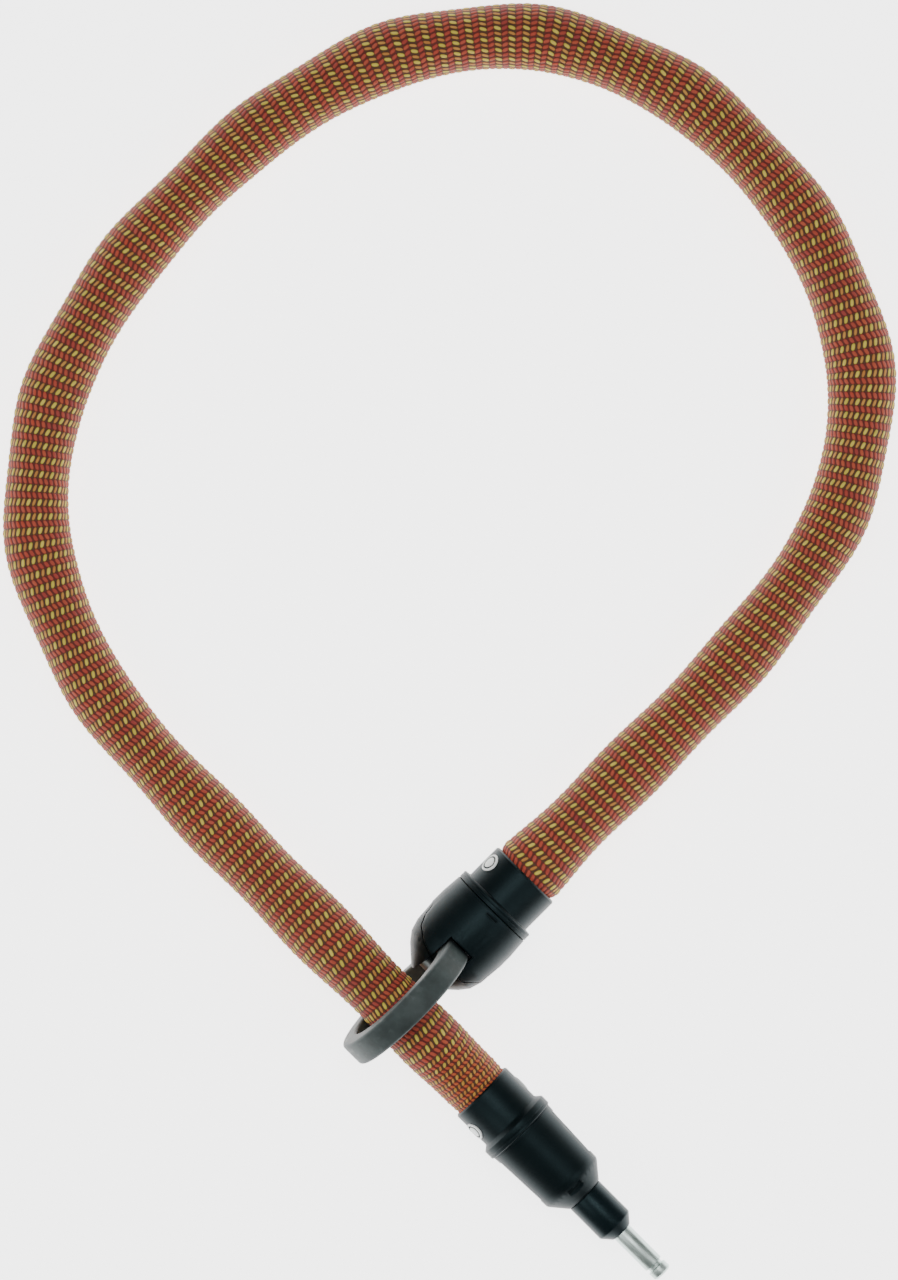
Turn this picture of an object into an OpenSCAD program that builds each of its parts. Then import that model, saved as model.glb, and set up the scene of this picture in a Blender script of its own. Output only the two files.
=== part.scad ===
// Plug-in chain for a frame lock: square links in a woven textile sleeve.
// One end carries a swinging ring that the chain is threaded through, the other a lock plug.
// Units are millimetres. +X right, +Y along the loop's long side, +Z up, lying on z = 0.

/* [Chain] */
// Distance from one link's bearing face to the next
pitch = 25.5; // [20:0.5:32]
// Across-flats size of the square link wire
wire = 5.6; // [4.5:0.1:7]
// Chamfer on the wire's long edges
wire_chamfer = 1.8; // [1.4:0.1:2.2]
// Play between two links' bends where they pass through each other
bar_play = 0.06; // [0.02:0.01:0.1]

/* [Sleeve] */
// Room between the links and the woven tube
sleeve_play = 0.18; // [0.05:0.01:1]
// Wall of the woven tube
sleeve_wall = 1.1; // [0.8:0.1:1.6]
// Wall of the tube where the plug's collar draws it in
cuff_wall = 0.65; // [0.4:0.05:0.9]

/* [Ring end] */
// Room between the ring's hole and the plug's ridge as it is threaded through
ring_clear = 5.35; // [2:0.05:9]
// Radial thickness of the ring
ring_t = 6; // [4:0.5:8]
// Width of the ring along its own axis
ring_w = 8.4; // [6:0.1:11]
// Chamfer on the ring's edges
ring_edge = 0.7; // [0.3:0.1:1.2]
// Radius of the cross pin that the ring swings on
cross_r = 2; // [1.5:0.1:2.5]
// Steel between the last link's bar and the ring's slot
web_l = 8; // [5:0.1:12]
// Length of the collar
collar_l = 12.5; // [8:0.1:14]
// Wall of the collar
collar_wall = 1.9; // [1:0.1:3]
// Step up from the collar to the housing's widest part
dome_step = 2.3; // [1.5:0.1:4]
// How far the housing's shells stand proud of its core
shell_proud = 0.25; // [0.1:0.05:0.6]
// Thickness of the housing's shells
shell_wall = 1.4; // [1:0.1:2]

/* [Plug] */
// Wall of the plug's collar
plug_wall = 0.9; // [0.7:0.1:2]
// Step up from the plug's collar to its ridge
ridge_step = 1.75; // [1:0.05:3]
// Length of the plug body from its collar's rim to the neck
plug_body_l = 46.2; // [40:0.1:60]
// Radius of the neck
neck_r = 6.4; // [5.5:0.1:8]
// Length of the neck
neck_l = 16.8; // [12:0.1:22]
// Radius of the locking pin
pin_r = 3.25; // [2.5:0.05:4.2]
// Length of the locking pin outside the neck
pin_l = 18.6; // [14:0.1:24]
// Radius of the round badges
badge_r = 3.1; // [2:0.1:4]

/* [Hidden] */
links = 34;
// heading of the chain, in degrees, by link number
lay = [[1, 45], [3.9, 45], [6.3, 55], [7.8, 76], [8.8, 95], [10.6, 120], [12.9, 142],
       [14.9, 169], [16.5, 195], [18.8, 219], [21.2, 231], [23.5, 255], [25.5, 288],
       [26.7, 301], [28.2, 314], [30.2, 315], [34, 315]];
// climb of the chain, in degrees, by link number
climb = [[1, 0], [2, -3], [3, -4], [4, -2.5], [5, -0.7], [6, 0], [28, 0], [29, 3.2],
         [30, 6.8], [31, 7.2], [32, 0], [33, -10.2], [34, 0]];
fit = 0.05;
sides = 12;
fine = 64;
black = [0.16, 0.18, 0.19];
steel = [0.72, 0.73, 0.74];

// a link's bend is just wide enough for its neighbour's bend to turn in it
half_flat = wire / 2 - wire_chamfer;
link_inner = 2 * norm([wire / 2 + half_flat * half_flat / wire, half_flat]) + 2 * bar_play;
link_half = link_inner / 2 + wire;
play = (link_inner - wire) / 4;
off = wire / 2 + play;
bar = pitch / 2 + off;
crown = pitch / 2 + play - link_inner / 2;
sleeve_in = (link_half + sleeve_play) / cos(180 / sides);
sleeve_r = sleeve_in + sleeve_wall;
cuff_r = sleeve_in + cuff_wall;

collar_bore = sleeve_r + 2 * fit;
collar_r = collar_bore + collar_wall;
dome_r = collar_r + dome_step;
ridge_r = dome_r - 0.3;
ridge_w = 2.8;
dome_x = collar_l + ridge_w + 2 * fit;
seat_x = collar_l + 7;
clevis_x = seat_x + wire / 2 + 0.5;
slot_x = seat_x + wire / 2 + web_l;
nose_l = 4.6;
clevis_r = link_half + 0.8;
eye_bore = wire / 2 + 1.4;
eye_r = eye_bore + 2.2;
eye_t = link_inner - 1.4;
mouth = 1.2;
bend_gap = 2.5;

plug_bore = cuff_r + fit;
plug_collar_r = plug_bore + plug_wall;
plug_r = plug_collar_r + ridge_step;
plug_seat = 18.7;
plug_cavity = link_half + 0.5;
head_x = plug_seat + wire / 2 + 2.7;
head_l = 3.8;
bolt_r = pin_r + 2.25;
head_r = bolt_r + 2.7;
washer_r = head_r + 0.7;
washer_t = 1.5;
washer_x = head_x + head_l + fit;
neck_x = plug_body_l - 5.9;
side_face = plug_r - 2.45;

function slope(i) = lookup(i, climb);
function dir(h, g) = [cos(g) * cos(h), cos(g) * sin(h), sin(g)];
function flat(i) = i % 2 == 1;
// headings with the loop opened a little, by a wave that leaves both ends straight
function headings(open) = [for (i = [0:links + 1])
    lookup(i, lay) + (i < 4 || i > 31 ? 0 : open * sin(360 * (i - 4) / 27))];
// an upright link turns sideways about its own bar, a flat one nods about its own
function steps(h) = [for (i = [1:links - 1])
    bar * dir(h[i], slope(i))
    - 2 * off * dir(h[flat(i) ? i : i + 1], slope(flat(i) ? i + 1 : i))
    + bar * dir(h[i + 1], slope(i + 1))];
function laid(h) = let (s = steps(h))
  [for (i = 1, c = start + bar * dir(h[1], slope(1)); i <= links;
        c = c + (i < links ? s[i - 1] : [0, 0, 0]), i = i + 1) c];
start = [10.7, -88, dome_r];

// the ring hangs on the cross pin and the tail rests on its lower side
ring_hole = plug_r + ring_clear;
ring_r = ring_hole + ring_t;
ring_roll = -6;
tail_z = (laid(headings(0))[links - 3][2] - start[2]) / cos(ring_roll);
reach = ring_hole - cross_r - fit;
rest = ring_hole - sleeve_r - 0.5;
tail_gap = nose_l + sleeve_r + 1.6;
gap = norm([tail_gap, tail_z]);
part = (reach * reach - rest * rest + gap * gap) / (2 * gap);
rise = sqrt(reach * reach - part * part);
cross_x = slot_x + 0.5 + ring_r - (part * tail_gap - rise * tail_z) / gap;
dome_l = cross_x + nose_l;
ring_x = slot_x + 0.5 + ring_r;
ring_z = (part * tail_z + rise * tail_gap) / gap;

// the tail has to cross the ring's axis just past the housing's tip
function tail_reach(h) = let (c = laid(h), u = dir(h[1], 0))
  -(c[links - 3] - start) * u + seat_x;
tail_x = cross_x + tail_gap;
open_0 = tail_reach(headings(0));
open = (tail_x - open_0) / (tail_reach(headings(1)) - open_0);
head = headings(open);
centres = laid(head);
function way(i) = dir(head[i], slope(i));
function centre(i) = centres[i - 1];
function back_bar(i) = centre(i) - bar * way(i);
function front_bar(i) = centre(i) + bar * way(i);

ring_rim = start + seat_x * way(1);
ring_turn = head[1] + 180;
nod = front_bar(links - 1);
plug_rim = nod + (pitch - plug_seat) * way(links);
tail_turn = head[links];

slot_half = ring_w / 2 + 0.35;
ear_y = slot_half + 1.7;
ear_r = cross_r + 1;

module at_ring() {
  translate(ring_rim) rotate([0, 0, ring_turn]) rotate([ring_roll, 0, 0]) children();
}

module at_plug() {
  translate(plug_rim) rotate([0, 0, tail_turn]) children();
}

// a solid of revolution about local +X from [x, radius] points
module turned(points) {
  rotate([0, 90, 0]) rotate_extrude($fn = fine)
    polygon([for (p = points) [p[1], p[0]]]);
}

// a cylinder across local +Y, centred
module across(r, l, n = fine) {
  rotate([90, 0, 0]) cylinder(h = l, r = r, center = true, $fn = n);
}

module wire_profile() {
  a = wire / 2;
  b = half_flat;
  polygon([[a, b], [b, a], [-b, a], [-a, b], [-a, -b], [-b, -a], [b, -a], [a, -b]]);
}

module link_crown() {
  translate([crown, 0, 0]) rotate([0, 0, -90]) rotate_extrude(angle = 180, $fn = 32)
    translate([(link_inner + wire) / 2, 0]) wire_profile();
}

module link_solid() {
  union() {
    link_crown();
    mirror([1, 0, 0]) link_crown();
    for (side = [-1, 1])
      translate([-crown, side * (link_inner + wire) / 2, 0])
        rotate([0, 90, 0]) linear_extrude(2 * crown) wire_profile();
  }
}

module chain_link(i) {
  color([0.6, 0.62, 0.63])
    translate(centre(i)) rotate([0, -slope(i), head[i]])
      rotate([flat(i) ? 0 : 90, 0, 0]) link_solid();
}

function unit(v) = v / norm(v);
// one end of a stretch of tube: a polygon cut by the plane square to `along`
function rim(p, along, seg, r, n) = let (
    s = unit(cross([0, 0, 1], seg)), u = cross(unit(seg), s))
  [for (k = [0:n - 1]) let (
      q = r * cos(360 * (k + 0.5) / n) * s + r * sin(360 * (k + 0.5) / n) * u)
    p + q - (q * along) / (unit(seg) * along) * unit(seg)];

// a straight-sided tube through a list of points, with mitred corners
module tube(path, r_out, r_in) {
  n = sides;
  m = len(path);
  rims = [for (j = [0:m - 1]) let (
      before = j == 0 ? path[1] - path[0] : path[j] - path[j - 1],
      after = j == m - 1 ? before : path[j + 1] - path[j],
      along = unit(unit(before) + unit(after)))
    each concat(rim(path[j], along, before, r_out, n),
                rim(path[j], along, before, r_in, n))];
  walls = [for (j = [0:m - 2]) each [for (k = [0:n - 1]) each let (
      a = 2 * n * j, b = a + 2 * n, l = (k + 1) % n)
    [[a + k, b + l, a + l], [a + k, b + k, b + l],
     [a + n + l, b + n + k, a + n + k], [a + n + l, b + n + l, b + n + k]]]];
  z = 2 * n * (m - 1);
  ends = [for (k = [0:n - 1]) each let (l = (k + 1) % n)
    [[l, n + k, k], [l, n + l, n + k],
     [z + k, z + n + l, z + l], [z + k, z + n + k, z + n + l]]];
  polyhedron(points = rims, faces = concat(walls, ends), convexity = 4);
}

module cloth(path, r_out = sleeve_r) {
  color([0.86, 0.42, 0.24]) tube(path, r_out, sleeve_in);
}

module sleeve_head() {
  free = (ring_rim - back_bar(2)) * way(1);
  cloth([ring_rim - 5.5 * way(1), ring_rim + (-free - mouth) * way(1)]);
}

module sleeve_main() {
  cloth(concat([back_bar(2) + mouth * way(2)],
    [for (i = [2:2:links - 4]) each [front_bar(i), back_bar(i + 2)]],
    [front_bar(links - 2) - bend_gap * way(links - 2)]));
}

module sleeve_mid() {
  cloth([front_bar(links - 2) + bend_gap * way(links - 1),
    nod - bend_gap * way(links - 1)]);
}

module sleeve_tail() {
  cloth([nod + bend_gap * way(links), plug_rim + 5 * way(links)], cuff_r);
}

// ---- ring end ----
// a place along the dome, as a share of the way from the ridge to the tip
function along(share) = dome_x + share * (dome_l - dome_x);
// the dome's profile: how far it is below its full radius, by place
dome_drop = [[0, 0.5], [0.21, 0], [0.4, 0], [0.6, 0.4], [0.725, 1.6], [0.82, 3.9],
             [0.92, 7.3], [0.975, 9.2], [1, 11.2]];
function dome_line(grow) = [for (p = dome_drop) [along(p[0]), dome_r - p[1] + grow]];

module dome_solid(grow) {
  turned(concat([[dome_x, 0]], dome_line(grow), [[dome_l, 0]]));
}

module ring_slot(extra = 0) {
  translate([slot_x - extra, -slot_half - extra, -2 * dome_r])
    cube([dome_l, 2 * (slot_half + extra), 4 * dome_r]);
}

// plan outline of the top and bottom shells of the housing
module tongue(grow) {
  edge = [for (p = [[0.37, 0.3], [0.5, 0.7], [0.61, 1.9], [0.705, 5.7], [0.765, 10.7]])
    [along(p[0]) + grow, dome_r - p[1] + grow]];
  wide = 2 * dome_r;
  linear_extrude(3 * dome_r) polygon(concat(
    [[0, -wide], [along(0.37), -wide]], [for (p = edge) [p[0], -p[1]]],
    [for (k = [len(edge) - 1:-1:0]) edge[k]], [[along(0.37), wide], [0, wide]]));
}

module clevis_fork(extra) {
  turned([[clevis_x - extra, 0], [clevis_x - extra, clevis_r + extra],
          [slot_x + fit, clevis_r + extra], [slot_x + fit, 0]]);
  translate([slot_x - 2, -ear_y - extra, -ear_r - extra])
    cube([cross_x - slot_x + 2, 2 * (ear_y + extra), 2 * (ear_r + extra)]);
  translate([cross_x, 0, 0]) across(ear_r + extra, 2 * (ear_y + extra));
}

module ring_housing() {
  color(black) at_ring() difference() {
    dome_solid(0);
    turned([[0, 0], [0, collar_bore + 0.3], [clevis_x, collar_bore + 0.3], [clevis_x, 0]]);
    clevis_fork(fit);
    ring_slot();
    for (k = [0, 180]) rotate([k, 0, 0]) difference() {
      tongue(shell_proud);
      dome_solid(shell_proud - shell_wall - fit);
    }
  }
}

module housing_shell(turn) {
  color(black) at_ring() rotate([turn, 0, 0]) difference() {
    intersection() {
      dome_solid(shell_proud);
      tongue(0);
      translate([0, -2 * dome_r, fit]) cube([2 * dome_l, 4 * dome_r, 2 * dome_r]);
    }
    dome_solid(shell_proud - shell_wall);
    ring_slot(shell_proud);
    translate([dome_x + 1.2, -2.2, dome_r - 1.1]) cube([0.7, 4.4, 3]);
  }
}

module shell_top() {
  housing_shell(0);
}

module shell_bottom() {
  housing_shell(180);
}

module ring_collar() {
  x = dome_x - 2 * fit;
  color(black) at_ring() turned([[0, collar_bore + 0.45], [0.4, collar_bore],
    [6, collar_bore], [6, collar_bore + 0.35], [x, collar_bore + 0.35], [x, ridge_r - 0.4],
    [x - 0.3, ridge_r], [collar_l + 0.4, ridge_r], [collar_l, collar_r + 0.1],
    [0.5, collar_r], [0, collar_r - 0.5]]);
}

module ring_crimp() {
  color(steel) at_ring() turned([[6.1, sleeve_in + fit], [6.1, collar_bore + 0.3],
    [12, collar_bore + 0.3], [12, collar_bore - 0.2], [6.8, collar_bore - 0.2],
    [6.8, sleeve_in + fit]]);
}

// a flat plate with a round end and a hole for a link's bar, pointing back along -X
module link_eye(bar_x, root_x) {
  back_x = bar_x - 3.2;
  difference() {
    intersection() {
      translate([back_x - eye_r - 1, -eye_t / 2, -eye_r])
        cube([root_x - back_x + eye_r + 1, eye_t, 2 * eye_r]);
      union() {
        translate([back_x, 0, 0]) across(eye_r, 4 * eye_t);
        translate([back_x, -2 * eye_t, -eye_r]) cube([eye_r * 3, 4 * eye_t, 2 * eye_r]);
      }
    }
    translate([bar_x - 1, 0, 0]) across(eye_bore, 5 * eye_t);
  }
}

module ring_clevis() {
  color(steel) at_ring() difference() {
    union() {
      clevis_fork(0);
      link_eye(seat_x, clevis_x + 1);
    }
    ring_slot();
    translate([cross_x, 0, 0]) across(cross_r + fit, 4 * ear_y);
  }
}

module ring_cross_pin() {
  color(steel) at_ring() translate([cross_x, 0, 0]) across(cross_r, 2 * (ear_y - fit));
}

module ring() {
  c = ring_edge;
  w = ring_w / 2;
  color([0.42, 0.46, 0.46]) at_ring() translate([ring_x, 0, ring_z]) rotate([90, 0, 0])
    rotate_extrude($fn = 96) polygon([[ring_hole + c, -w], [ring_r - c, -w],
      [ring_r, c - w], [ring_r, w - c], [ring_r - c, w], [ring_hole + c, w],
      [ring_hole, w - c], [ring_hole, c - w]]);
}

// a plain round disc let on to a collar of radius r
module badge(x, turn, r) {
  color([0.93, 0.94, 0.93]) rotate([turn, 0, 0]) translate([x, 0, 0]) difference() {
    translate([0, 0, r - 0.6]) cylinder(h = 1.05, r = badge_r, $fn = 96);
    rotate([0, 90, 0]) cylinder(h = 20, r = r + 0.12, center = true, $fn = 256);
  }
}

module badge_upper() {
  at_ring() badge(5.3, 66, collar_r);
}

module badge_lower() {
  at_ring() badge(5.3, 246, collar_r);
}

// ---- plug ----
module plug_outer() {
  turned([[18, 0], [18, plug_r - 0.6], [20, plug_r - 0.75],
    [plug_body_l - 5.7, plug_r - 1.55], [plug_body_l - 4.9, plug_r - 2],
    [plug_body_l, neck_r + 0.2], [plug_body_l, 0]]);
}

module plug_shell(turn) {
  color(black) at_plug() rotate([turn, 0, 0]) difference() {
    intersection() {
      plug_outer();
      translate([0, -2 * plug_r, fit]) cube([2 * plug_body_l, 4 * plug_r, 2 * plug_r]);
    }
    turned([[17, 0], [17, plug_cavity], [head_x - fit, plug_cavity],
      [head_x - fit, head_r + fit], [washer_x - fit, head_r + fit],
      [washer_x - fit, washer_r + fit], [washer_x + washer_t + fit, washer_r + fit],
      [washer_x + washer_t + fit, bolt_r + 2 * fit],
      [plug_body_l + 1, bolt_r + 2 * fit], [plug_body_l + 1, 0]]);
    for (side = [0, 1]) mirror([0, side, 0])
      translate([20.45, side_face, -3.05])
        cube([plug_body_l - 28.7, plug_r, 6.1]);
    translate([plug_body_l - 4.7, -2.9, plug_r - 2.6]) cube([0.8, 5.8, 4]);
    translate([plug_body_l - 3.9, -2.9, plug_r - 3.8]) cube([9, 5.8, 6]);
  }
}

module plug_shell_top() {
  plug_shell(0);
}

module plug_shell_bottom() {
  plug_shell(180);
}

// a strip that steps down twice along the plug's side
module plug_inlay(side) {
  l = (plug_body_l - 28.8) / 3;
  color([0.1, 0.11, 0.12]) at_plug() mirror([0, side, 0]) union() {
    for (k = [0:2])
      translate([20.5 + k * l, side_face + fit, -3]) cube([l, 0.95 - 0.2 * k, 6]);
  }
}

module plug_inlay_right() {
  plug_inlay(1);
}

module plug_inlay_left() {
  plug_inlay(0);
}

module plug_collar() {
  color(black) at_plug() turned([[0, plug_bore + 0.3], [0.4, plug_bore], [6, plug_bore],
    [6, link_half + 0.6], [17.9, link_half + 0.6], [17.9, plug_r - 0.3], [17.6, plug_r],
    [14.7, plug_r], [13.1, plug_collar_r + 0.1], [0.5, plug_collar_r],
    [0, plug_collar_r - 0.4]]);
}

module plug_bolt() {
  n = plug_body_l + neck_l + fit;
  e = plug_body_l + neck_l + pin_l;
  color([0.8, 0.82, 0.82]) at_plug() union() {
    rotate([90, 0, 0]) link_eye(plug_seat, head_x + 1);
    turned([[head_x, 0], [head_x, head_r - 0.6], [head_x + 0.6, head_r],
      [head_x + head_l, head_r], [head_x + head_l, bolt_r], [neck_x - 2 * fit, bolt_r],
      [neck_x - 2 * fit, pin_r - 0.3], [n, pin_r - 0.3], [n, pin_r], [e - 4.4, pin_r],
      [e - 4.1, pin_r - 0.75], [e - 3.2, pin_r - 0.75], [e - 2.9, pin_r],
      [e - 0.6, pin_r], [e, pin_r - 0.7], [e, 0]]);
  }
}

module plug_washer() {
  e = washer_x + washer_t;
  color(steel) at_plug() turned([[washer_x, bolt_r + fit], [washer_x, washer_r],
    [e, washer_r], [e, bolt_r + fit]]);
}

module plug_neck() {
  x = plug_body_l;
  color([0.13, 0.15, 0.16]) at_plug() turned([[neck_x, pin_r - 0.25], [neck_x, bolt_r],
    [x + 0.1, bolt_r], [x + 0.1, neck_r], [x + neck_l - 3.2, neck_r],
    [x + neck_l, pin_r + 0.3], [x + neck_l, pin_r - 0.25]]);
}

module plug_badge_left() {
  at_plug() badge(7.4, 68, plug_collar_r);
}

module plug_badge_right() {
  at_plug() badge(7.4, 248, plug_collar_r);
}

// ---- the links, one module each ----
module link_01() {
  chain_link(1);
}

module link_02() {
  chain_link(2);
}

module link_03() {
  chain_link(3);
}

module link_04() {
  chain_link(4);
}

module link_05() {
  chain_link(5);
}

module link_06() {
  chain_link(6);
}

module link_07() {
  chain_link(7);
}

module link_08() {
  chain_link(8);
}

module link_09() {
  chain_link(9);
}

module link_10() {
  chain_link(10);
}

module link_11() {
  chain_link(11);
}

module link_12() {
  chain_link(12);
}

module link_13() {
  chain_link(13);
}

module link_14() {
  chain_link(14);
}

module link_15() {
  chain_link(15);
}

module link_16() {
  chain_link(16);
}

module link_17() {
  chain_link(17);
}

module link_18() {
  chain_link(18);
}

module link_19() {
  chain_link(19);
}

module link_20() {
  chain_link(20);
}

module link_21() {
  chain_link(21);
}

module link_22() {
  chain_link(22);
}

module link_23() {
  chain_link(23);
}

module link_24() {
  chain_link(24);
}

module link_25() {
  chain_link(25);
}

module link_26() {
  chain_link(26);
}

module link_27() {
  chain_link(27);
}

module link_28() {
  chain_link(28);
}

module link_29() {
  chain_link(29);
}

module link_30() {
  chain_link(30);
}

module link_31() {
  chain_link(31);
}

module link_32() {
  chain_link(32);
}

module link_33() {
  chain_link(33);
}

module link_34() {
  chain_link(34);
}

// one node by name, or all of them

link_01();
link_02();
link_03();
link_04();
link_05();
link_06();
link_07();
link_08();
link_09();
link_10();
link_11();
link_12();
link_13();
link_14();
link_15();
link_16();
link_17();
link_18();
link_19();
link_20();
link_21();
link_22();
link_23();
link_24();
link_25();
link_26();
link_27();
link_28();
link_29();
link_30();
link_31();
link_32();
link_33();
link_34();
sleeve_head();
sleeve_main();
sleeve_mid();
sleeve_tail();
ring_housing();
shell_top();
shell_bottom();
ring_collar();
ring_crimp();
ring_clevis();
ring_cross_pin();
ring();
badge_upper();
badge_lower();
plug_shell_top();
plug_shell_bottom();
plug_inlay_right();
plug_inlay_left();
plug_collar();
plug_bolt();
plug_washer();
plug_neck();
plug_badge_left();
plug_badge_right();
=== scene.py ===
"""A plug-in lock chain: square links in a woven sleeve, a ring end and a plug end."""

import math

import bpy
import numpy as np
from mathutils import Matrix, Vector


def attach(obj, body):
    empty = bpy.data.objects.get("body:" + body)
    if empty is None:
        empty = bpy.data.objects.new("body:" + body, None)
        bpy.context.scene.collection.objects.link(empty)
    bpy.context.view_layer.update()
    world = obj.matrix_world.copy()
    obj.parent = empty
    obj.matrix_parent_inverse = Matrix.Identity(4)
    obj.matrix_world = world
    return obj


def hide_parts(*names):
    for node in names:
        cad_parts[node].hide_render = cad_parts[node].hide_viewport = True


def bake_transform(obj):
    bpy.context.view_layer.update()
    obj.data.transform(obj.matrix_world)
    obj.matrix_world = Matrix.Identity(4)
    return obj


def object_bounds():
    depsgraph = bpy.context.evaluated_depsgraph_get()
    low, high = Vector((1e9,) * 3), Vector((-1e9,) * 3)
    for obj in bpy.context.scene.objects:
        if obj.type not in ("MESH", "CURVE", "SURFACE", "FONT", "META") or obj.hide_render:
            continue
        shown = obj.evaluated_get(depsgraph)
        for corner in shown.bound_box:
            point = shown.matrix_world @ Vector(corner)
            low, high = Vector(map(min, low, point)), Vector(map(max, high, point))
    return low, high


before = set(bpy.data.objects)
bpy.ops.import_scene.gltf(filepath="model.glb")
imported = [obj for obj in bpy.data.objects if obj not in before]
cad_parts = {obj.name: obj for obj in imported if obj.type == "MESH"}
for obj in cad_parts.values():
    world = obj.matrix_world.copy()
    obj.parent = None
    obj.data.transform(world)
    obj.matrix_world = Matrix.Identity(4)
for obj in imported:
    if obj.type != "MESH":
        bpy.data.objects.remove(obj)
cad_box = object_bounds()

MM = 0.001

# ---------------------------------------------------------------- the chain's lay
PITCH = 25.5
WIRE = 5.6
HALF_FLAT = WIRE / 2 - 1.8      # half of the flat left between two chamfers
LINK_INNER = 2 * math.hypot(WIRE / 2 + HALF_FLAT * HALF_FLAT / WIRE, HALF_FLAT) + 0.12
PLAY = (LINK_INNER - WIRE) / 4
LINKS = 34
SEAT_X = 19.5
PLUG_SEAT = 18.7
DOME_R = 14.6988
DOME_L = 46.63
TAIL_X = DOME_L + 12
START = (10.7, -88, DOME_R)
# heading and climb of the chain, in degrees, by link number
LAY = [(1, 45), (3.9, 45), (6.3, 55), (7.8, 76), (8.8, 95), (10.6, 120), (12.9, 142),
       (14.9, 169), (16.5, 195), (18.8, 219), (21.2, 231), (23.5, 255), (25.5, 288),
       (26.7, 301), (28.2, 314), (30.2, 315), (34, 315)]
CLIMB = [(1, 0), (2, -3), (3, -4), (4, -2.5), (5, -0.7), (6, 0), (28, 0), (29, 3.2),
         (30, 6.8), (31, 7.2), (32, 0), (33, -10.2), (34, 0)]
PLAY_OFF = WIRE / 2 + PLAY
BAR = PITCH / 2 + PLAY_OFF


def heading(i, wave=None):
    """Heading of a link, with the loop opened by a wave that leaves both ends straight."""
    wave = OPENED if wave is None else wave
    turn = wave * math.sin(math.radians(360 * (i - 4) / 27)) if 4 <= i <= 31 else 0
    return float(np.interp(i, *zip(*LAY))) + turn


def slope(i):
    """Climb of a link."""
    return float(np.interp(i, *zip(*CLIMB)))


def direction(turn, rise):
    """Unit vector from a heading and a climb in degrees."""
    turn, rise = math.radians(turn), math.radians(rise)
    return Vector((math.cos(rise) * math.cos(turn), math.cos(rise) * math.sin(turn),
                   math.sin(rise)))


def way(i, wave=None):
    """The direction that a link points in."""
    return direction(heading(i, wave), slope(i))


def link_centres(wave):
    """Each link turns about its neighbour's bar: upright ones sideways, flat ones up."""
    centres = [None, Vector(START) + BAR * way(1, wave)]
    for i in range(1, LINKS):
        flat, upright = (i, i + 1) if i % 2 else (i + 1, i)
        step = BAR * way(i, wave) + BAR * way(i + 1, wave)
        step -= 2 * PLAY_OFF * direction(heading(flat, wave), slope(upright))
        centres.append(centres[i] + step)
    return centres


def tail_reach(wave):
    """How far ahead of the ring end's rim the tail passes."""
    ahead = direction(heading(1, wave), 0)
    return (Vector(START) - link_centres(wave)[LINKS - 2]).dot(ahead) + SEAT_X


OPENED = (TAIL_X - tail_reach(0)) / (tail_reach(1) - tail_reach(0))
CENTRES = link_centres(OPENED)


def back_bar(i):
    """The middle of a link's rear bar."""
    return CENTRES[i] - BAR * way(i)


def front_bar(i):
    """The middle of a link's front bar."""
    return CENTRES[i] + BAR * way(i)


RING_RIM = Vector(START) + SEAT_X * way(1)
NOD = front_bar(LINKS - 1)
PLUG_RIM = NOD + (PITCH - PLUG_SEAT) * way(LINKS)
RING_ROLL = -6
AT_RING = (Matrix.Translation(RING_RIM * MM)
           @ Matrix.Rotation(math.radians(heading(1) + 180), 4, "Z")
           @ Matrix.Rotation(math.radians(RING_ROLL), 4, "X"))
AT_PLUG = (Matrix.Translation(PLUG_RIM * MM)
           @ Matrix.Rotation(math.radians(heading(LINKS)), 4, "Z"))


# ---------------------------------------------------------------- camera
def make_camera():
    """Straight down on the middle of the object, with the long side up the frame."""
    low, high = (Vector(corner) for corner in cad_box)
    lens, sensor, frame_height, focus_height = 110, 24, 0.4054, 0.0125
    data = bpy.data.cameras.new("camera")
    data.sensor_fit = "VERTICAL"
    data.sensor_height = sensor
    data.lens = lens
    data.clip_end = 20
    camera = bpy.data.objects.new("camera", data)
    middle = (low + high) / 2
    camera.location = (middle.x, middle.y, focus_height + frame_height * lens / sensor)
    bpy.context.scene.collection.objects.link(camera)
    bpy.context.scene.camera = camera


make_camera()


# ---------------------------------------------------------------- helpers
def colour(text):
    """sRGB hex to the linear colour that a shader takes."""
    parts = [int(text[i:i + 2], 16) / 255 for i in (1, 3, 5)]
    return tuple(p / 12.92 if p <= 0.04045 else ((p + 0.055) / 1.055) ** 2.4
                 for p in parts) + (1.0,)


def add(tree, kind, inputs=None, **settings):
    """One node, with its settings, and its inputs from numbers or other sockets."""
    node = tree.nodes.new("ShaderNode" + kind)
    for name, value in settings.items():
        setattr(node, name, value)
    for name, value in (inputs or {}).items():
        if isinstance(value, bpy.types.NodeSocket):
            tree.links.new(value, node.inputs[name])
        else:
            node.inputs[name].default_value = value
    return node


def new_material(name):
    """A named material with an empty tree: its tree, and its Principled shader."""
    material = bpy.data.materials.new(name)
    material.use_nodes = True
    tree = material.node_tree
    tree.nodes.clear()
    output = tree.nodes.new("ShaderNodeOutputMaterial")
    shader = tree.nodes.new("ShaderNodeBsdfPrincipled")
    tree.links.new(shader.outputs[0], output.inputs[0])
    return material, tree, shader


def paint(obj, material):
    """Gives a piece one material."""
    obj.data.materials.clear()
    obj.data.materials.append(material)


# ---------------------------------------------------------------- the woven sleeve
COLUMNS = 36          # warp threads round the sleeve, 1.8 mm apart
PERIOD = 4.5          # one row of long floats and one of short ones, in mm
LONG_ROW = 0.53       # share of the period that the long floats take
LEAN = 0.2            # how far a float leans, in columns, each way
ROWS = (0.0, 0.1, 0.265, 0.43, 0.53, 0.66, 0.765, 0.87)
SLEEVE_R = 10.1       # the cloth's ground, under its threads
GATHER = 26           # the weave is drawn together this far before the plug


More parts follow.
